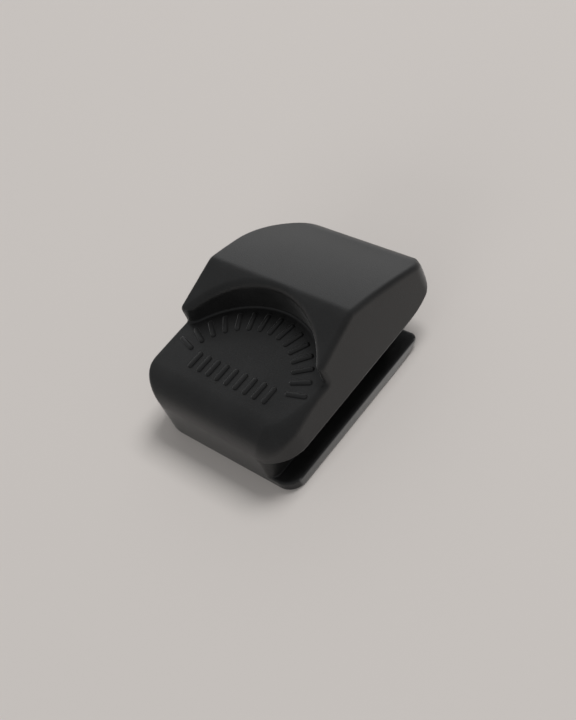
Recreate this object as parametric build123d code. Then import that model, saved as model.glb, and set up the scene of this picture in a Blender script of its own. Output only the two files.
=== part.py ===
"""One-piece moulded rubber mute for a bowed string instrument, split into its moulded regions.

X runs across the strings, Y along them towards the nose that meets the bridge, and Z up.
The origin is the centre of the part's box seen from above, on the plate's flat underside.
"""
from build123d import *
import math
import os

# Overall size, mm
LENGTH = 23.5               # flat front face to the tip of the nose
WIDTH = 18.5                # across the foot and the string plate
HEIGHT = 10.0               # plate underside to the ridge of the hood

# The string slot, which opens to the +X side
PLATE_THICKNESS = 1.0
SLOT_HEIGHT = 2.2           # takes a cello string of 1.0 to 1.8 mm
SLOT_DEPTH = 2.1            # from the plate's side to the slot's inner wall

# Upper block, seen from the side
PAD_HEIGHT = 6.4            # finger pad above the plate's underside
LIP_HEIGHT = 8.3            # lower edge of the hood's front slope
PAD_LENGTH = 8.1            # front face to the step under the lip
RIDGE_FROM_FRONT = 13.5     # front face to the ridge
FRONT_ROUNDING = 2.9        # between the front face and the pad
UNDERSIDE_LENGTH = 17.9     # flat underside of the block, from the front face

# Roof and nose: distance behind the ridge, distance below it
ROOF_MID = (3.6, 0.92)
ROOF_BACK = (7.0, 2.02)
ROOF_END = (8.7, 2.62)
NOSE_TOP = (9.65, 3.12)
NOSE_TIP = (9.97, 4.0)
NOSE_LOW = (9.6, 5.2)
NOSE_UNDER = (8.0, 6.3)
ROOF_START_SLOPE = 0.22     # fall of the roof right behind the ridge

NOSE_CURVE = (ROOF_MID, ROOF_BACK, ROOF_END, NOSE_TOP, NOSE_TIP, NOSE_LOW, NOSE_UNDER)

# Upper block, seen from above
SIDE_DRAFT_DEG = 3.4        # the sides lean in towards the ridge
FRONT_CORNER = 3.5
NOSE_LEFT_CORNER = 6.3
NOSE_RIGHT_CORNER = 1.7

# Thumb arch cut into the front of the hood
ARCH_RADIUS = 9.2
ARCH_TOP_GAP = 0.4          # from the ridge to the top of the arch

# String plate
PLATE_LENGTH = 19.2
PLATE_SLOT_CORNER = 1.7      # front corner on the slot's side
PLATE_BACK_CORNER = 0.8
PLATE_TIP_THICKNESS = 0.3   # the plate thins to its back end
PLATE_TIP_CURVE = 4.5       # length of the thinned stretch

# Foot between block and plate, whose right wall is the inner side of the slot
FOOT_BACK_GAP = 0.6         # foot ends this far before the flat underside does
FOOT_SLOT_CORNER = 1.0
FOOT_BACK_CORNER = 1.0

# Raised grip ribs
RIB_HEIGHT = 0.2
RIB_WIDTH = 0.55
FAN_RIBS = 15
FAN_RIB_LENGTH = 2.2
FAN_RADIUS = 7.4            # arch centre to the middle of a fan rib
FAN_HALF_ANGLE_DEG = 74.0
PAD_RIBS = 9
PAD_RIB_LENGTH = 2.0
PAD_RIB_PITCH = 1.2
PAD_RIB_FROM_FRONT = 4.8

# Derived places
FRONT = -LENGTH / 2
BLOCK_BOTTOM = PLATE_THICKNESS + SLOT_HEIGHT
RIDGE = FRONT + RIDGE_FROM_FRONT
STEP = FRONT + PAD_LENGTH
UNDERSIDE_END = FRONT + UNDERSIDE_LENGTH
ARCH_CENTRE = RIDGE - ARCH_TOP_GAP - ARCH_RADIUS


def behind_ridge(offset):
    """Turn (behind, below) the ridge into a point of the side view."""
    behind, below = offset
    return (RIDGE + behind, HEIGHT - below)


def side_slice(outline, width):
    """Closed side-view outline, extruded equally to both sides of the middle plane."""
    return extrude(Plane.YZ * make_face(outline), amount=width / 2, both=True)


def plan_outline(left, right, back, front_corners, back_corners):
    """Outline seen from above, from the front face to back; corner radii go from left to right."""
    sheet = Pos((left + right) / 2, (FRONT + back) / 2) * Rectangle(right - left, back - FRONT)
    for row, radii in ((0, front_corners), (-1, back_corners)):
        for side, radius in zip((0, -1), radii):
            corner = sheet.vertices().group_by(Axis.Y)[row].sort_by(Axis.X)[side]
            sheet = fillet(corner, radius)
    return sheet


def block_side_view():
    """Outline of the whole upper block: front rounding, pad, step, slope, roof and nose."""
    bottom = (FRONT, BLOCK_BOTTOM)
    rounding_start = (FRONT, PAD_HEIGHT - FRONT_ROUNDING)
    rounding_end = (FRONT + FRONT_ROUNDING, PAD_HEIGHT)
    underside_end = (UNDERSIDE_END, BLOCK_BOTTOM)
    front = Line(bottom, rounding_start)
    rounding = TangentArc(rounding_start, rounding_end, tangent=(0, 1))
    step = Polyline(rounding_end, (STEP, PAD_HEIGHT), (STEP, LIP_HEIGHT), (RIDGE, HEIGHT))
    roof_points = [(RIDGE, HEIGHT)] + [behind_ridge(p) for p in NOSE_CURVE]
    roof = Spline(*roof_points, underside_end, tangents=[(1, -ROOF_START_SLOPE), (-1, 0)])
    underside = Line(underside_end, bottom)
    return front + rounding + step + roof + underside


def upper_block():
    """Drafted block with rounded plan corners, before the thumb arch is cut."""
    side = WIDTH / 2
    nose_corners = (NOSE_LEFT_CORNER, NOSE_RIGHT_CORNER)
    plan = plan_outline(-side, side, FRONT + LENGTH, (FRONT_CORNER, FRONT_CORNER), nose_corners)
    drafted = extrude(Pos(0, 0, BLOCK_BOTTOM) * plan, amount=HEIGHT - BLOCK_BOTTOM, taper=SIDE_DRAFT_DEG)
    return drafted & side_slice(block_side_view(), WIDTH + 2)


def layer(low, high):
    """Slab of space between two heights, larger than the part."""
    return Pos(0, 0, (low + high) / 2) * Box(2 * WIDTH, 2 * LENGTH, high - low)


def finger_pad():
    """Lower layer of the block: the pad that the finger presses and the underside of the nose."""
    return upper_block() & layer(BLOCK_BOTTOM, PAD_HEIGHT)


def hood():
    """Raised roof above the pad, with the round thumb arch cut into its front."""
    arch = Pos(0, ARCH_CENTRE, HEIGHT) * Cylinder(ARCH_RADIUS, 2 * HEIGHT)
    return (upper_block() & layer(PAD_HEIGHT, HEIGHT + 1)) - arch


def foot():
    """Solid layer that joins block and plate, and whose right wall closes the string slot."""
    side = WIDTH / 2
    back = UNDERSIDE_END - FOOT_BACK_GAP
    front_corners = (FRONT_CORNER, FOOT_SLOT_CORNER)
    back_corners = (FOOT_BACK_CORNER, FOOT_BACK_CORNER)
    plan = plan_outline(-side, side - SLOT_DEPTH, back, front_corners, back_corners)
    return extrude(Pos(0, 0, PLATE_THICKNESS) * plan, amount=SLOT_HEIGHT)


def string_plate():
    """Thin plate that passes under the strings, thinned at its back end."""
    side = WIDTH / 2
    back = FRONT + PLATE_LENGTH
    front_corners = (FRONT_CORNER, PLATE_SLOT_CORNER)
    plan = plan_outline(-side, side, back, front_corners, (PLATE_BACK_CORNER, PLATE_BACK_CORNER))
    flat_end = (back - PLATE_TIP_CURVE, 0)
    tip = (back, PLATE_THICKNESS - PLATE_TIP_THICKNESS)
    bottom = Line((FRONT, 0), flat_end) + TangentArc(flat_end, tip, tangent=(1, 0))
    top = Polyline(tip, (back, PLATE_THICKNESS), (FRONT, PLATE_THICKNESS), (FRONT, 0))
    return extrude(plan, amount=PLATE_THICKNESS) & side_slice(bottom + top, WIDTH + 2)


def rib(length, direction_deg, x, y):
    """One raised rib on the pad, centred at x, y."""
    place = Pos(x, y, PAD_HEIGHT) * Rot(0, 0, direction_deg)
    return place * extrude(SlotOverall(length, RIB_WIDTH), amount=RIB_HEIGHT)


def arch_ribs():
    """Fan of ribs that follows the thumb arch."""
    ribs = []
    for index in range(FAN_RIBS):
        angle = FAN_HALF_ANGLE_DEG * (2 * index / (FAN_RIBS - 1) - 1)
        x = FAN_RADIUS * math.sin(math.radians(angle))
        y = ARCH_CENTRE + FAN_RADIUS * math.cos(math.radians(angle))
        ribs.append(rib(FAN_RIB_LENGTH, 90 - angle, x, y))
    return ribs


def pad_ribs():
    """Straight row of short ribs across the middle of the pad."""
    first = -PAD_RIB_PITCH * (PAD_RIBS - 1) / 2
    y = FRONT + PAD_RIB_FROM_FRONT
    return [rib(PAD_RIB_LENGTH, 90, first + index * PAD_RIB_PITCH, y) for index in range(PAD_RIBS)]


def write(name, solids):
    """Write one node as its own STEP file."""
    shape = Compound(children=solids) if len(solids) > 1 else solids[0]
    shape.label = name
    export_step(shape, f"parts/{name}.step")


os.makedirs("parts", exist_ok=True)
write("finger_pad", [finger_pad()])
write("hood", [hood()])
write("foot", [foot()])
write("string_plate", [string_plate()])
write("arch_ribs", arch_ribs())
write("pad_ribs", pad_ribs())
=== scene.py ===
"""Studio view of a moulded black rubber mute for a bowed string instrument.

The moulding is one continuous skin, worked out as a distance field in millimetres around the
CAD frame and turned into a mesh. The raised grip ribs, a fan and a row, are grown by node trees.
X runs across the strings, Y along them towards the nose, and Z up.
"""
import math

import bpy
import numpy as np
from mathutils import Matrix, Vector


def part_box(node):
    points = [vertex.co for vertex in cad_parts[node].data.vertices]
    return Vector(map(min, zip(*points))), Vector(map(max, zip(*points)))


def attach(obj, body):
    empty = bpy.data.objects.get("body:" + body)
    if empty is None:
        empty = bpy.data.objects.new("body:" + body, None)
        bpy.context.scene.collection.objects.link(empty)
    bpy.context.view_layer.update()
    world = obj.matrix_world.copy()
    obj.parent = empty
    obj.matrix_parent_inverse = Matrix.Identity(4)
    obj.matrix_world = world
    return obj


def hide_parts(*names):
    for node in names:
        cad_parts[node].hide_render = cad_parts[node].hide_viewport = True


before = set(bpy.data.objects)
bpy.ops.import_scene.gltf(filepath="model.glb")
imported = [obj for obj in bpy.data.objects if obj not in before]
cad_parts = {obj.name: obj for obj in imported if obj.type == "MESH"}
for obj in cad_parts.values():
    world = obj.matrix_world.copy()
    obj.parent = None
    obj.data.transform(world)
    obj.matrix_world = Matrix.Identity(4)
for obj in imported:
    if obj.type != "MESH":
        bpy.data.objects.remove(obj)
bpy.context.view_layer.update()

BODY = "root"
MM = 0.001

# ---- Sizes read from the frame, mm -------------------------------------------------------------


def box_mm(node):
    """Lowest and highest corner of a CAD node, in millimetres."""
    low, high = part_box(node)
    return low / MM, high / MM


pad_low, pad_high = box_mm("finger_pad")
hood_low, hood_high = box_mm("hood")
_, foot_high = box_mm("foot")
_, plate_high = box_mm("string_plate")

HALF_WIDTH = pad_high.x
FRONT = pad_low.y
NOSE_END = pad_high.y
PAD_TOP = pad_high.z
BLOCK_BOTTOM = pad_low.z
STEP = hood_low.y
TOP = hood_high.z
SLOT_WALL = foot_high.x
FOOT_BACK = foot_high.y
PLATE_TOP = plate_high.z
PLATE_BACK = plate_high.y

# ---- Sizes of the moulding's curves, mm --------------------------------------------------------
RIDGE_FROM_FRONT = 13.5
UNDERSIDE_LENGTH = 17.9
LIP_HEIGHT = 8.3
FRONT_ROUNDING = 2.9
FRONT_CORNER = 3.5
NOSE_LEFT_CORNER = 6.3
NOSE_RIGHT_CORNER = 1.7
SLOT_CORNER = 1.0
PLATE_SLOT_CORNER = 1.7
PLATE_BACK_CORNER = 0.8
PLATE_TIP_CURVE = 4.5
PLATE_TIP_THICKNESS = 0.3
LEFT_DRAFT = math.tan(math.radians(1.6))
RIGHT_DRAFT = math.tan(math.radians(3.4))
ARCH_RADIUS = 9.2
ARCH_TOP_GAP = 0.4
NOSE_CURVE = (               # behind the ridge and below the top: roof, nose, underside
    (3.6, 0.92), (7.0, 2.02), (8.7, 2.62), (9.65, 3.12), (9.97, 4.0), (9.6, 5.2), (8.0, 6.3))
ROOF_START = (0.977, -0.215)    # direction of the roof right behind the ridge
UNDERSIDE_END_TURN = (-1, 0)    # the curve runs forwards where it joins the flat underside
CURVE_STEPS = 24                # outline points on each span of the curve

TOP_EDGES = (0.2, 0.5)          # radius between the roof and the left and right sides
FRONT_TOP_EDGES = (0.3, 2.4)    # the same at the pad's left and right front corners
FRONT_EDGE_REACH = 7.0          # the front radius fades out over this length behind the front
FULL_EDGE_FACING = 1.4          # a side that faces 1 / this across the strings has its full radius
LOWER_EDGE = 0.18               # radius over the slot
RIDGE_EDGE = 0.2
LIP_EDGE = 0.35
ARCH_EDGE = 0.65
PAD_COVE = 0.2                  # hollow radius at the foot of the thumb arch
PLATE_EDGE = 0.12
BASE_EDGE = 0.18
LAP = 0.3                       # the foot reaches this far into its neighbours
TINY = 1e-6                     # keeps a length that is divided by above zero

RIDGE = FRONT + RIDGE_FROM_FRONT
UNDERSIDE_END = FRONT + UNDERSIDE_LENGTH
ARCH_CENTRE = RIDGE - ARCH_TOP_GAP - ARCH_RADIUS

# ---- Distance field of the moulding ------------------------------------------------------------


def keep_both(a, b, radius):
    """Distance to the overlap of two shapes, with its outer edge rounded."""
    corner = np.hypot(np.maximum(a + radius, 0), np.maximum(b + radius, 0))
    return np.minimum(-radius, np.maximum(a, b)) + corner


def join(a, b, radius):
    """Distance to two shapes together, with a hollow cove where they meet."""
    corner = np.hypot(np.maximum(radius - a, 0), np.maximum(radius - b, 0))
    return np.maximum(radius, np.minimum(a, b)) - corner


def smooth_step(value):
    """0 below 0, 1 above 1, and a soft ramp between."""
    t = np.clip(value, 0, 1)
    return t * t * (3 - 2 * t)


def between(ends, share):
    """The value that lies this share of the way from the first end to the second."""
    return ends[0] + (ends[1] - ends[0]) * share


def spline_through(points, first_slope, last_slope, per_span):
    """Points along a curve of even curvature through the given ones, with set end directions."""
    points = np.array(points, float)
    gaps = np.linalg.norm(np.diff(points, axis=0), axis=1)
    count = len(points)
    matrix = np.eye(count)
    slopes = np.zeros((count, 2))
    slopes[0], slopes[-1] = first_slope, last_slope
    steps = np.diff(points, axis=0) / gaps[:, None]
    for i in range(1, count - 1):
        matrix[i, i - 1:i + 2] = gaps[i], 2 * (gaps[i - 1] + gaps[i]), gaps[i - 1]
        slopes[i] = 3 * (gaps[i] * steps[i - 1] + gaps[i - 1] * steps[i])
    slopes = np.linalg.solve(matrix, slopes)
    curve = []
    for i, gap in enumerate(gaps):
        t = np.linspace(0, 1, per_span, endpoint=False)[:, None]
        places = (2 * t**3 - 3 * t**2 + 1) * points[i] + (3 * t**2 - 2 * t**3) * points[i + 1]
        leaving, arriving = t**3 - 2 * t**2 + t, t**3 - t**2
        curve.append(places + gap * leaving * slopes[i] + gap * arriving * slopes[i + 1])
    return np.vstack(curve + [points[-1:]])


class SideOutline:
    """Signed distance to a closed side-view outline, kept as a fine table over y and z."""

    STEP_MM = 0.05
    MARGIN_MM = 1.5
    LAST_SPAN = 1.001    # a read stops just short of the table's last entry

    def __init__(self, outline, low, high):
        self.low = np.array(low) - self.MARGIN_MM
        reach = np.array(high) + self.MARGIN_MM - self.low
        self.size = np.ceil(reach / self.STEP_MM).astype(int)
        y, z = (self.low[i] + self.STEP_MM * np.arange(self.size[i]) for i in (0, 1))
        y, z = np.meshgrid(y, z, indexing="ij")
        nearest = np.full(y.shape, np.inf)
        inside = np.zeros(y.shape, bool)
        for (y0, z0), (y1, z1) in zip(outline, np.roll(outline, -1, axis=0)):
            dy, dz = y1 - y0, z1 - z0
            along = np.clip(((y - y0) * dy + (z - z0) * dz) / (dy * dy + dz * dz), 0, 1)
            nearest = np.minimum(nearest, np.hypot(y - y0 - along * dy, z - z0 - along * dz))
            if dz != 0:
                inside ^= ((z0 > z) != (z1 > z)) & (y < y0 + (z - z0) * dy / dz)
        self.table = np.where(inside, -nearest, nearest)

    def distance(self, y, z):
        """Distance at any points, read between the table's entries."""
        u = np.clip((y - self.low[0]) / self.STEP_MM, 0, self.size[0] - self.LAST_SPAN)
        v = np.clip((z - self.low[1]) / self.STEP_MM, 0, self.size[1] - self.LAST_SPAN)
        i, j = u.astype(int), v.astype(int)
        u, v = u - i, v - j
        near = self.table[i, j] * (1 - u) + self.table[i + 1, j] * u
        far = self.table[i, j + 1] * (1 - u) + self.table[i + 1, j + 1] * u
        return near * (1 - v) + far * v


def nose_outline():
    """Roof, nose and underside as one outline, closed well past the front and the bottom."""
    behind = [(RIDGE + back, TOP - below) for back, below in NOSE_CURVE]
    points = [(RIDGE, TOP)] + behind + [(UNDERSIDE_END, BLOCK_BOTTOM)]
    curve = spline_through(points, ROOF_START, UNDERSIDE_END_TURN, CURVE_STEPS)
    far_front, far_down = FRONT - 2 * UNDERSIDE_LENGTH, -2 * UNDERSIDE_LENGTH
    closing = [(0, BLOCK_BOTTOM), (0, far_down), (far_front, far_down)]
    outline = np.vstack([[(far_front, TOP)], curve, closing])
    return SideOutline(outline, (FRONT, 0), (NOSE_END, TOP))


def plan_distance(x, y, left, right, back, front_radii, back_radii):
    """Distance to a rectangle seen from above with its own radius at each corner, and how far the
    nearest side faces along X."""
    x = x - (left + right) / 2
    y = y - (FRONT + back) / 2
    radius = np.where(y > 0, np.where(x > 0, back_radii[1], back_radii[0]),
                      np.where(x > 0, front_radii[1], front_radii[0]))
    across = np.abs(x) - (right - left) / 2 + radius
    along = np.abs(y) - (back - FRONT) / 2 + radius
    corner = np.hypot(np.maximum(across, 0), np.maximum(along, 0))
    round_corner = np.maximum(across, 0) / np.maximum(corner, TINY)
    sideways = np.where(corner > 0, round_corner, across > along)
    return np.minimum(np.maximum(across, along), 0) + corner - radius, sideways


def side_places(z):
    """Where the block's left and right sides are: they lean in above the slot."""
    above = np.maximum(z - BLOCK_BOTTOM, 0)
    return LEFT_DRAFT * above - HALF_WIDTH, HALF_WIDTH - RIGHT_DRAFT * above


def top_distance(x, y, z):
    """Finger pad with its rounded front, and the hood with the thumb arch cut into it."""
    pad = keep_both(z - PAD_TOP, FRONT - y, FRONT_ROUNDING)
    run, rise = RIDGE - STEP, TOP - LIP_HEIGHT
    slope = ((z - TOP) * run - (y - RIDGE) * rise) / math.hypot(run, rise)
    arch = ARCH_RADIUS - np.hypot(x, y - ARCH_CENTRE)
    hood = keep_both(keep_both(slope, STEP - y, LIP_EDGE), arch, ARCH_EDGE)
    return join(pad, hood, PAD_COVE)


def block_distance(x, y, z, nose):
    """Upper block: pad, hood and nose between the drafted sides."""
    middle = keep_both(top_distance(x, y, z), nose.distance(y, z), RIDGE_EDGE)
    left, right = side_places(z)
    plan, sideways = plan_distance(x, y, left, right, NOSE_END, (FRONT_CORNER, FRONT_CORNER),
                                   (NOSE_LEFT_CORNER, NOSE_RIGHT_CORNER))
    at_front = smooth_step((FRONT + FRONT_EDGE_REACH - y) / FRONT_EDGE_REACH)
    at_right = smooth_step(x / HALF_WIDTH + 0.5)
    upper = between((between(TOP_EDGES, at_right), between(FRONT_TOP_EDGES, at_right)), at_front)
    lift = smooth_step((z - BLOCK_BOTTOM) / (PAD_TOP - BLOCK_BOTTOM))
    radius = between((LOWER_EDGE, upper), lift) * smooth_step(sideways * FULL_EDGE_FACING)
    block = keep_both(plan, middle, radius)
    return keep_both(block, BLOCK_BOTTOM - z, LOWER_EDGE)


def foot_distance(x, y, z):
    """Layer between block and plate; its right wall is the inner side of the slot."""
    plan, _ = plan_distance(x, y, side_places(z)[0], SLOT_WALL, FOOT_BACK,
                            (FRONT_CORNER, SLOT_CORNER), (SLOT_CORNER, SLOT_CORNER))
    return np.maximum(plan, np.maximum(PLATE_TOP - LAP - z, z - BLOCK_BOTTOM - LAP))


def plate_distance(x, y, z):
    """String plate, with its underside curving up to a thin back end."""
    plan, _ = plan_distance(x, y, -HALF_WIDTH, HALF_WIDTH, PLATE_BACK,
                            (FRONT_CORNER, PLATE_SLOT_CORNER),
                            (PLATE_BACK_CORNER, PLATE_BACK_CORNER))
    rise = PLATE_TOP - PLATE_TIP_THICKNESS
    radius = (PLATE_TIP_CURVE**2 + rise**2) / (2 * rise)
    behind = np.maximum(y - PLATE_BACK + PLATE_TIP_CURVE, 0)
    underside = np.hypot(behind, z - radius) - radius
    return keep_both(keep_both(plan, z - PLATE_TOP, PLATE_EDGE), underside, BASE_EDGE)


def rubber_distance(points, nose):
    """Distance from points to the whole moulding, negative inside it."""
    x, y, z = points[..., 0], points[..., 1], points[..., 2]
    lower = np.minimum(foot_distance(x, y, z), plate_distance(x, y, z))
    return np.minimum(block_distance(x, y, z, nose), lower)


# ---- From distance field to mesh ---------------------------------------------------------------
GRID_STEP = 0.14
GRID_MARGIN = 0.4
RELAX_ROUNDS = 4
SETTLE_ROUNDS = 2
PROBE = 0.02                # reach of the probes that find which way the surface faces
LEAST_STEEPNESS = 0.25      # stops a point from being thrown far off where the slope is weak
WEAR_AND_SHADE_PROBE = 0.35           # reach of the probes that find edges and hollows
PROBES = 6
WEAR_AND_SHADE_GAIN = 6
# The plate's rim band is painted light: a paler grey that stands in for the light the rim catches,
# rising towards the back.
RIM_LIGHT_BLEND = 0.08           # softness of the painted light band's limits
RIM_LIGHT_SIDE_START = 1.5       # the band starts this many blends inside the plate's side
RIM_LIGHT_TOP_START = 0.5        # and this many below its top
RIM_LIGHT_AT_FRONT = 0.4         # how strong the painted light is at the front
RIM_LIGHT_RISE = 0.6             # and how much it gains by the back


def probe_pairs(distance, points, reach):
    """Distances ahead of and behind the points, along X, Y and Z in turn."""
    for axis in range(3):
        offset = np.zeros(3)
        offset[axis] = reach
        yield distance(points + offset), distance(points - offset)


def outward_slope(distance, points):
    """Slope of the distance at the points, which faces straight out of the surface."""
    pairs = probe_pairs(distance, points, PROBE)
    return np.stack([(ahead - behind) / (2 * PROBE) for ahead, behind in pairs], axis=1)


def wear_and_shade_bend(distance, points):
    """How the surface bends: above 0 on an outer edge, below 0 in a hollow."""
    bend = -distance(points)
    for ahead, behind in probe_pairs(distance, points, WEAR_AND_SHADE_PROBE):
        bend = bend + (ahead + behind) / PROBES
    return bend / WEAR_AND_SHADE_PROBE * WEAR_AND_SHADE_GAIN


def settle(distance, points):
    """Move points straight onto the surface."""
    for _ in range(SETTLE_ROUNDS):
        slope = outward_slope(distance, points)
        steep = np.maximum((slope**2).sum(axis=1), LEAST_STEEPNESS)
        points = points - slope * (distance(points) / steep)[:, None]
    return points


def net_faces(inside, cell_index):
    """One quad round every grid edge that passes through the surface."""
    faces = []
    for axis in range(3):
        low, high = [slice(1, -1)] * 3, [slice(1, -1)] * 3
        low[axis], high[axis] = slice(0, -1), slice(1, None)
        start, end = inside[tuple(low)], inside[tuple(high)]
        u, v = (axis + 1) % 3, (axis + 2) % 3
        for leaving in (True, False):
            edges = np.argwhere((start != end) & (start == leaving))
            edges[:, u] += 1
            edges[:, v] += 1
            ring = []
            for du, dv in ((-1, -1), (0, -1), (0, 0), (-1, 0)):
                cell = edges.copy()
                cell[:, u] += du
                cell[:, v] += dv
                ring.append(cell_index[tuple(cell.T)])
            quads = np.stack(ring, axis=1)
            faces.append(quads if leaving else quads[:, ::-1])
    return np.vstack(faces)


def relax(points, faces):
    """Move every point to the mean of its neighbours along the faces' sides."""
    total = np.zeros_like(points)
    count = np.zeros(len(points))
    for side in range(4):
        a, b = faces[:, side], faces[:, (side + 1) % 4]
        for here, there in ((a, b), (b, a)):
            np.add.at(total, here, points[there])
            np.add.at(count, here, 1)
    return total / count[:, None]


def surface_net(distance, low, high):
    """Even quad mesh of the surface where the distance is zero."""
    axes = [np.arange(low[i] - GRID_MARGIN, high[i] + GRID_MARGIN, GRID_STEP) for i in range(3)]
    grid = np.stack(np.meshgrid(*axes, indexing="ij"), axis=-1)
    inside = distance(grid) < 0
    cells = np.zeros(np.array(inside.shape) - 1, int)
    for corner in np.ndindex(2, 2, 2):
        cells += inside[tuple(slice(d, d - 1 or None) for d in corner)]
    crossed = np.argwhere((cells > 0) & (cells < 8))
    cell_index = np.full(cells.shape, -1)
    cell_index[tuple(crossed.T)] = np.arange(len(crossed))
    start = np.array([axis[0] for axis in axes])
    points = start + (crossed + 0.5) * GRID_STEP
    faces = net_faces(inside, cell_index)
    for _ in range(RELAX_ROUNDS):
        points = settle(distance, relax(points, faces))
    return settle(distance, points), faces


def add_object(name, data):
    """A new object in the scene that shows the given mesh, light or camera."""
    made = bpy.data.objects.new(name, data)
    bpy.context.scene.collection.objects.link(made)
    return made


def mesh_object(name, points_mm, faces):
    """A smooth-shaded object from points in millimetres and quads."""
    mesh = bpy.data.meshes.new(name)
    mesh.from_pydata((points_mm * MM).tolist(), [], faces.tolist())
    mesh.shade_smooth()
    mesh.update()
    return add_object(name, mesh)


def add_point_value(piece, name, values):
    """Store one number per point for the material to read."""
    layer = piece.data.attributes.new(name, "FLOAT", "POINT")
    layer.data.foreach_set("value", np.asarray(values, np.float32))


def moulded_body():
    """The whole rubber moulding as one skin, which stores its edges, its hollows for painted shade
    and the plate's rim band of painted light.
    """
    nose = nose_outline()

    def distance(points):
        return rubber_distance(points, nose)

    points, faces = surface_net(distance, (-HALF_WIDTH, FRONT, 0), (HALF_WIDTH, NOSE_END, TOP))
    piece = mesh_object("moulded_rubber_body", points, faces)
    bend = wear_and_shade_bend(distance, points)
    add_point_value(piece, "edge", np.clip(bend, 0, 1))
    # The hollow value is painted shade: the material darkens the colour there.
    add_point_value(piece, "hollow", np.clip(-bend, 0, 1))
    x, y, z = points.T
    # Painted light on the plate's rim: a band that turns the colour paler grey, stronger towards
    # the back.
    at_side = smooth_step((x - HALF_WIDTH) / RIM_LIGHT_BLEND + RIM_LIGHT_SIDE_START)
    below_top = smooth_step((PLATE_TOP - z) / RIM_LIGHT_BLEND - RIM_LIGHT_TOP_START)
    strength = RIM_LIGHT_AT_FRONT + RIM_LIGHT_RISE * (y - FRONT) / (PLATE_BACK - FRONT)
    add_point_value(piece, "rim_light", at_side * below_top * strength)
    return piece


# ---- Raised grip ribs --------------------------------------------------------------------------
RIB_RISE = 0.2
RIB_SINK = 0.15
RIB_WIDTH = 0.55
FAN_RIBS = 15
FAN_RIB_LENGTH = 2.2
FAN_RADIUS = 7.4
FAN_HALF_ANGLE = math.radians(74.0)
ROW_RIBS = 9
ROW_RIB_LENGTH = 2.0
ROW_PITCH = 1.2
ROW_FROM_FRONT = 4.8
BALL_SEGMENTS = 24
BALL_RINGS = 14


class Num:
    """A number in a node tree; plain arithmetic on it adds maths nodes."""

    def __init__(self, maker, socket):
        self.maker, self.socket = maker, socket

    def __add__(self, other):
        return self.maker.maths("ADD", self, other)

    def __radd__(self, other):
        return self.maker.maths("ADD", other, self)

    def __sub__(self, other):
        return self.maker.maths("SUBTRACT", self, other)

    def __rsub__(self, other):
        return self.maker.maths("SUBTRACT", other, self)

    def __mul__(self, other):
        return self.maker.maths("MULTIPLY", self, other)

    def __rmul__(self, other):
        return self.maker.maths("MULTIPLY", other, self)

    def __truediv__(self, other):
        return self.maker.maths("DIVIDE", self, other)

    def __rtruediv__(self, other):
        return self.maker.maths("DIVIDE", other, self)

    def __neg__(self):
        return self.maker.maths("MULTIPLY", self, -1.0)

    def sine(self):
        return self.maker.maths("SINE", self)

    def cosine(self):
        return self.maker.maths("COSINE", self)

    def above(self, level):
        return self.maker.maths("GREATER_THAN", self, level)

    def ramp(self, start, end):
        """Soft 0 to 1 as the number goes from start to end."""
        made = self.maker.node("ShaderNodeMapRange", {"interpolation_type": "SMOOTHSTEP"},
                               {"Value": self, "From Min": start, "From Max": end})
        return Num(self.maker, made.outputs["Result"])


class NodeMaker:
    """Adds nodes to one tree."""

    def __init__(self, tree):
        self.tree = tree

    def put(self, socket, value):
        """Give a socket a link or a plain value."""
        if isinstance(value, Num):
            value = value.socket
        if isinstance(value, bpy.types.NodeSocket):
            self.tree.links.new(value, socket)
        else:
            socket.default_value = value

    def node(self, kind, settings=None, inputs=None):
        """Add a node: its settings first, then values or links for the named inputs."""
        made = self.tree.nodes.new(kind)
        for key, value in (settings or {}).items():
            setattr(made, key, value)
        for key, value in (inputs or {}).items():
            self.put(made.inputs[key], value)
        return made

    def maths(self, operation, *values):
        """One number worked out from others."""
        made = self.node("ShaderNodeMath", {"operation": operation}, dict(enumerate(values)))
        return Num(self, made.outputs[0])

    def vector(self, x, y, z):
        """A vector from three numbers."""
        return self.node("ShaderNodeCombineXYZ", inputs={"X": x, "Y": y, "Z": z}).outputs[0]

    def parts(self, vector):
        """The three numbers of a vector."""
        made = self.node("ShaderNodeSeparateXYZ", inputs={0: vector})
        return [Num(self, made.outputs[i]) for i in range(3)]

    def scaled(self, vector, factor):
        """A vector made longer by a plain factor."""
        made = self.node("ShaderNodeVectorMath", {"operation": "SCALE"},
                         {0: vector, "Scale": factor})
        return made.outputs[0]

    def blend(self, factor, first, second):
        """A colour between two others."""
        made = self.node("ShaderNodeMix", {"data_type": "RGBA"},
                         {0: factor, 6: first, 7: second})
        return made.outputs[2]


def new_tree(name, sizes):
    """An empty geometry tree with named number inputs; gives its maker and those inputs."""
    tree = bpy.data.node_groups.new(name, "GeometryNodeTree")
    tree.interface.new_socket("Geometry", in_out="OUTPUT", socket_type="NodeSocketGeometry")
    for label, value in sizes.items():
        kind = "NodeSocketInt" if isinstance(value, int) else "NodeSocketFloat"
        tree.interface.new_socket(label, in_out="INPUT", socket_type=kind)
    maker = NodeMaker(tree)
    outputs = maker.node("NodeGroupInput").outputs
    return maker, {label: Num(maker, outputs[label]) for label in sizes}


def rib_shape(maker, width, length, rise, sink):
    """One domed rib along Y, from a ball drawn out lengthways."""
    ball = maker.node("GeometryNodeMeshUVSphere", inputs={
        "Segments": BALL_SEGMENTS, "Rings": BALL_RINGS, "Radius": 1.0})
    x, y, z = maker.parts(maker.node("GeometryNodeInputPosition").outputs[0])
    upper, along = z.above(0.0), y.above(0.0)
    straight = length / 2 - width / 2
    y = y * width / 2 + straight * (along * 2 - 1)
    z = z * (upper * rise + (1 - upper) * sink)
    placed = maker.vector(x * width / 2, y, z)
    drawn = maker.node("GeometryNodeSetPosition", inputs={
        "Geometry": ball.outputs["Mesh"], "Position": placed})
    return maker.node("GeometryNodeSetShadeSmooth", inputs={0: drawn.outputs[0]}).outputs[0]


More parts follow.
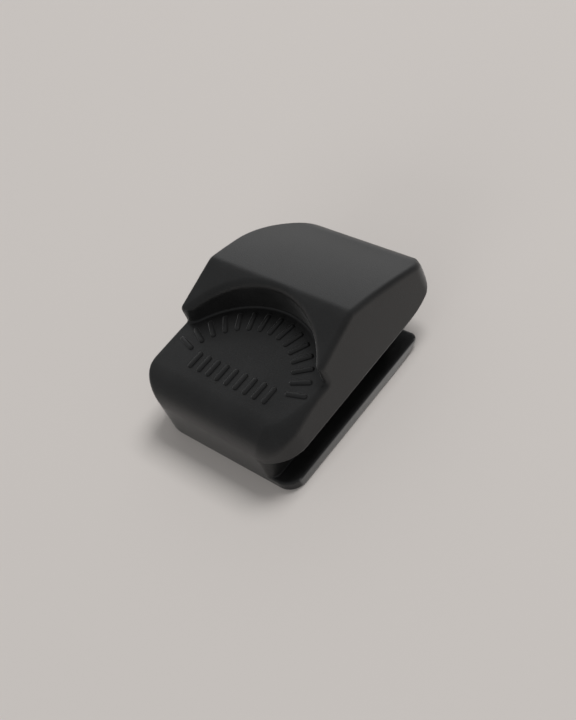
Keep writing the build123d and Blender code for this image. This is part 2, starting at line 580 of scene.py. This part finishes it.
def finish_ribs(maker, position, turn, count, shape, material):
    """Copies of a shape at the worked-out places, as real geometry with its material."""
    places = maker.node("GeometryNodePoints", inputs={"Count": count, "Position": position})
    copies = maker.node("GeometryNodeInstanceOnPoints", inputs={
        "Points": places.outputs[0], "Instance": shape, "Rotation": maker.vector(0.0, 0.0, turn)})
    real = maker.node("GeometryNodeRealizeInstances", inputs={0: copies.outputs[0]})
    coloured = maker.node("GeometryNodeSetMaterial", inputs={
        0: real.outputs[0], "Material": material})
    maker.node("NodeGroupOutput", inputs={0: coloured.outputs[0]})


def fan_tree(material, sizes):
    """Ribs standing like a fan along the thumb arch."""
    maker, size = new_tree("fan_of_ribs", sizes)
    index = Num(maker, maker.node("GeometryNodeInputIndex").outputs[0])
    turn = size["Half Angle"] * (2 * index / (size["Count"] - 1) - 1)
    place = maker.vector(turn.sine() * size["Radius"],
                         turn.cosine() * size["Radius"] + size["Centre"], size["Height"])
    shape = rib_shape(maker, size["Width"], size["Length"], size["Rise"], size["Sink"])
    finish_ribs(maker, place, -turn, size["Count"], shape, material)
    return maker.tree


def row_tree(material, sizes):
    """Ribs standing side by side across the pad."""
    maker, size = new_tree("row_of_ribs", sizes)
    index = Num(maker, maker.node("GeometryNodeInputIndex").outputs[0])
    across = (index - (size["Count"] - 1) / 2) * size["Pitch"]
    place = maker.vector(across, size["Centre"], size["Height"])
    shape = rib_shape(maker, size["Width"], size["Length"], size["Rise"], size["Sink"])
    finish_ribs(maker, place, 0.0, size["Count"], shape, material)
    return maker.tree


def grown_mesh(name, tree, sizes):
    """Run a tree once with the given sizes and keep the result as a plain mesh."""
    holder = add_object(name + "_maker", bpy.data.meshes.new(name + "_maker"))
    modifier = holder.modifiers.new("grow", "NODES")
    modifier.node_group = tree
    for item in tree.interface.items_tree:
        if item.in_out == "INPUT":
            modifier[item.identifier] = sizes[item.name]
    bpy.context.view_layer.update()
    grown = holder.evaluated_get(bpy.context.evaluated_depsgraph_get())
    mesh = bpy.data.meshes.new_from_object(grown)
    mesh.name = name
    bpy.data.objects.remove(holder)
    return add_object(name, mesh)


def rib_sizes(count, length, centre):
    """Sizes that both rows of ribs share, in metres."""
    return {"Count": count, "Length": length * MM, "Width": RIB_WIDTH * MM,
            "Rise": RIB_RISE * MM, "Sink": RIB_SINK * MM, "Height": PAD_TOP * MM,
            "Centre": centre * MM}


# ---- Rubber ------------------------------------------------------------------------------------
RIM_LIGHT_GREY = 0.30         # painted light: a paler grey on the plate's free edge, standing in for the light it catches
BLOOM_NOISE = (0.22, 3.0)   # scale per mm and detail: broad, faint bloom
GRAIN_NOISE = (9.0, 2.0)    # moulded grain
SPECK_NOISE = (26.0, 1.0)   # finest specks
BLOOM_LIMITS = (0.35, 0.7)
GRAIN_LIMITS = (0.3, 0.7)
# HOLLOW_SHADE_TONE is painted shade: it darkens the colour in hollows, where less light falls.
BLOOM_TONE, GRAIN_TONE, EDGE_TONE, HOLLOW_SHADE_TONE = 0.4, 0.4, 0.15, 0.2
BLOOM_ROUGHNESS, GRAIN_ROUGHNESS, EDGE_ROUGHNESS = 0.05, 0.05, 0.1
GRAIN_BUMP, SPECK_BUMP, BUMP_STRENGTH = 0.7, 0.3, 0.6
RUBBER_FINISH = {"IOR": 1.5, "Specular IOR Level": 0.5, "Specular Tint": (0.97, 0.985, 1.0, 1.0),
                 "Sheen Weight": 0.35, "Sheen Roughness": 0.3}


def grey(level):
    """A neutral colour."""
    return (level, level, level, 1.0)


def new_material(name):
    """A material and its main shader."""
    material = bpy.data.materials.new(name)
    material.use_nodes = True
    return material, material.node_tree.nodes["Principled BSDF"]


def set_inputs(node, values):
    """Give plain values to a node's named inputs."""
    for label, value in values.items():
        node.inputs[label].default_value = value


def rubber(name, deep, pale, rough, grain_depth):
    """Matte moulded rubber: even black, fine grain, edges a little worn by handling, painted shade
    in hollows and painted light on the plate's rim.
    """
    material, shader = new_material(name)
    maker = NodeMaker(material.node_tree)
    place = maker.scaled(maker.node("ShaderNodeTexCoord").outputs["Object"], 1 / MM)

    def cloud(scale, detail):
        made = maker.node("ShaderNodeTexNoise",
                          inputs={"Vector": place, "Scale": scale, "Detail": detail})
        return Num(maker, made.outputs["Fac"])

    def stored(label):
        made = maker.node("ShaderNodeAttribute", {"attribute_name": label})
        return Num(maker, made.outputs["Fac"])

    bloom = cloud(*BLOOM_NOISE).ramp(*BLOOM_LIMITS)
    grain = cloud(*GRAIN_NOISE)
    speck = cloud(*SPECK_NOISE)
    edge, hollow, rim_light = stored("edge"), stored("hollow"), stored("rim_light")
    # Edges lighten with handling; hollows darken as painted shade.
    tone = (bloom * BLOOM_TONE + grain.ramp(*GRAIN_LIMITS) * GRAIN_TONE
            + edge * EDGE_TONE - hollow * HOLLOW_SHADE_TONE)
    colour = maker.blend(tone, grey(deep), grey(pale))
    # Painted light: the rim band blends the colour towards a paler grey.
    maker.put(shader.inputs["Base Color"], maker.blend(rim_light, colour, grey(RIM_LIGHT_GREY)))
    maker.put(shader.inputs["Roughness"], rough + bloom * BLOOM_ROUGHNESS
              + edge * EDGE_ROUGHNESS + grain * GRAIN_ROUGHNESS)
    bump = maker.node("ShaderNodeBump", inputs={
        "Strength": BUMP_STRENGTH, "Distance": grain_depth * MM,
        "Height": grain * GRAIN_BUMP + speck * SPECK_BUMP})
    maker.put(shader.inputs["Normal"], bump.outputs["Normal"])
    set_inputs(shader, RUBBER_FINISH)
    return material


body_rubber = rubber("moulded_rubber_matte", 0.008, 0.017, 0.27, 0.035)
rib_rubber = rubber("raised_rubber_matte", 0.008, 0.016, 0.28, 0.02)

body = moulded_body()
body.data.materials.append(body_rubber)
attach(body, BODY)
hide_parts("finger_pad", "hood", "foot", "string_plate")

fan_sizes = rib_sizes(FAN_RIBS, FAN_RIB_LENGTH, ARCH_CENTRE)
fan_sizes.update({"Radius": FAN_RADIUS * MM, "Half Angle": FAN_HALF_ANGLE})
fan = grown_mesh("arch_grip_ribs", fan_tree(rib_rubber, fan_sizes), fan_sizes)
row_sizes = rib_sizes(ROW_RIBS, ROW_RIB_LENGTH, FRONT + ROW_FROM_FRONT)
row_sizes.update({"Pitch": ROW_PITCH * MM})
row = grown_mesh("pad_grip_ribs", row_tree(rib_rubber, row_sizes), row_sizes)
for piece, node in ((fan, "arch_ribs"), (row, "pad_ribs")):
    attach(piece, BODY)
    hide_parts(node)

# ---- Floor, light and camera -------------------------------------------------------------------
FLOOR_HALF = 3.0
FLOOR_COLOUR = (0.62, 0.585, 0.558, 1.0)
ROOM_COLOUR = (1.0, 1.0, 1.0, 1.0)
ROOM_STRENGTH = 0.23
FLOOR_GLOW = 0.09
FLOOR_DROP = 0.00002        # keeps the floor and the flat underside apart
PANEL_DISTANCE = 1.2
PANELS = (                  # name, turn, height angle, side, watts, and whether gloss mirrors it
    ("key_panel", 8, 58, 0.5, 9.0, False),
    ("back_panel", -36, 7, 1.3, 3.1, True),
    ("left_panel", -80, 48, 1.0, 0.2, True),
    ("front_panel", 170, 8, 0.8, 4.5, False),
)
CAMERA_TURN, CAMERA_HEIGHT, CAMERA_ROLL = -60.8, -45.55, -27.56
CAMERA_LENS = 55.3
CAMERA_SENSOR = 36.0
CAMERA_NEAREST = 0.005
CAMERA_TARGET = (1.12, -1.56, 3.30)    # mm
CAMERA_DISTANCE = 103.13               # mm


def pale_floor():
    """A wide plain floor just under the moulding."""
    mesh = bpy.data.meshes.new("studio_floor")
    corners = [(x * FLOOR_HALF, y * FLOOR_HALF, -FLOOR_DROP)
               for x, y in ((-1, -1), (1, -1), (1, 1), (-1, 1))]
    mesh.from_pydata(corners, [], [(0, 1, 2, 3)])
    material, shader = new_material("studio_paper")
    set_inputs(shader, {"Base Color": FLOOR_COLOUR, "Roughness": 1.0, "Specular IOR Level": 0.0,
                        "Emission Color": FLOOR_COLOUR, "Emission Strength": FLOOR_GLOW})
    mesh.materials.append(material)
    return add_object("studio_floor", mesh)


def direction(turn, height):
    """Unit vector towards a bearing (0 is +Y, 90 is +X) and a height angle, in degrees."""
    turn, height = math.radians(turn), math.radians(height)
    flat = math.cos(height)
    return Vector((math.sin(turn) * flat, math.cos(turn) * flat, math.sin(height)))


def soft_light(name, turn, height, size, watts, shine):
    """A square panel light that faces the moulding; without shine it isn't mirrored in gloss."""
    data = bpy.data.lights.new(name, "AREA")
    data.shape = "SQUARE"
    data.size = size
    data.energy = watts
    light = add_object(name, data)
    light.location = direction(turn, height) * PANEL_DISTANCE
    light.rotation_euler = direction(turn, height).to_track_quat("Z", "Y").to_euler()
    light.visible_glossy = shine


def set_camera():
    """Camera above the front right corner, rolled so that the nose points up to the right."""
    forward = direction(CAMERA_TURN, CAMERA_HEIGHT)
    level = forward.cross(Vector((0, 0, 1))).normalized()
    roll = math.radians(CAMERA_ROLL)
    right = math.cos(roll) * level + math.sin(roll) * level.cross(forward)
    up = right.cross(forward)
    data = bpy.data.cameras.new("studio_camera")
    data.lens = CAMERA_LENS
    data.sensor_width = CAMERA_SENSOR
    data.clip_start = CAMERA_NEAREST
    matrix = Matrix((right, up, -forward)).transposed().to_4x4()
    matrix.translation = Vector(CAMERA_TARGET) * MM - forward * (CAMERA_DISTANCE * MM)
    camera = add_object("studio_camera", data)
    camera.matrix_world = matrix
    bpy.context.scene.camera = camera


pale_floor()
for panel in PANELS:
    soft_light(*panel)

world = bpy.data.worlds.new("studio_room")
world.use_nodes = True
set_inputs(world.node_tree.nodes["Background"],
           {"Color": ROOM_COLOUR, "Strength": ROOM_STRENGTH})
bpy.context.scene.world = world
bpy.context.scene.view_settings.view_transform = "Standard"
set_camera()
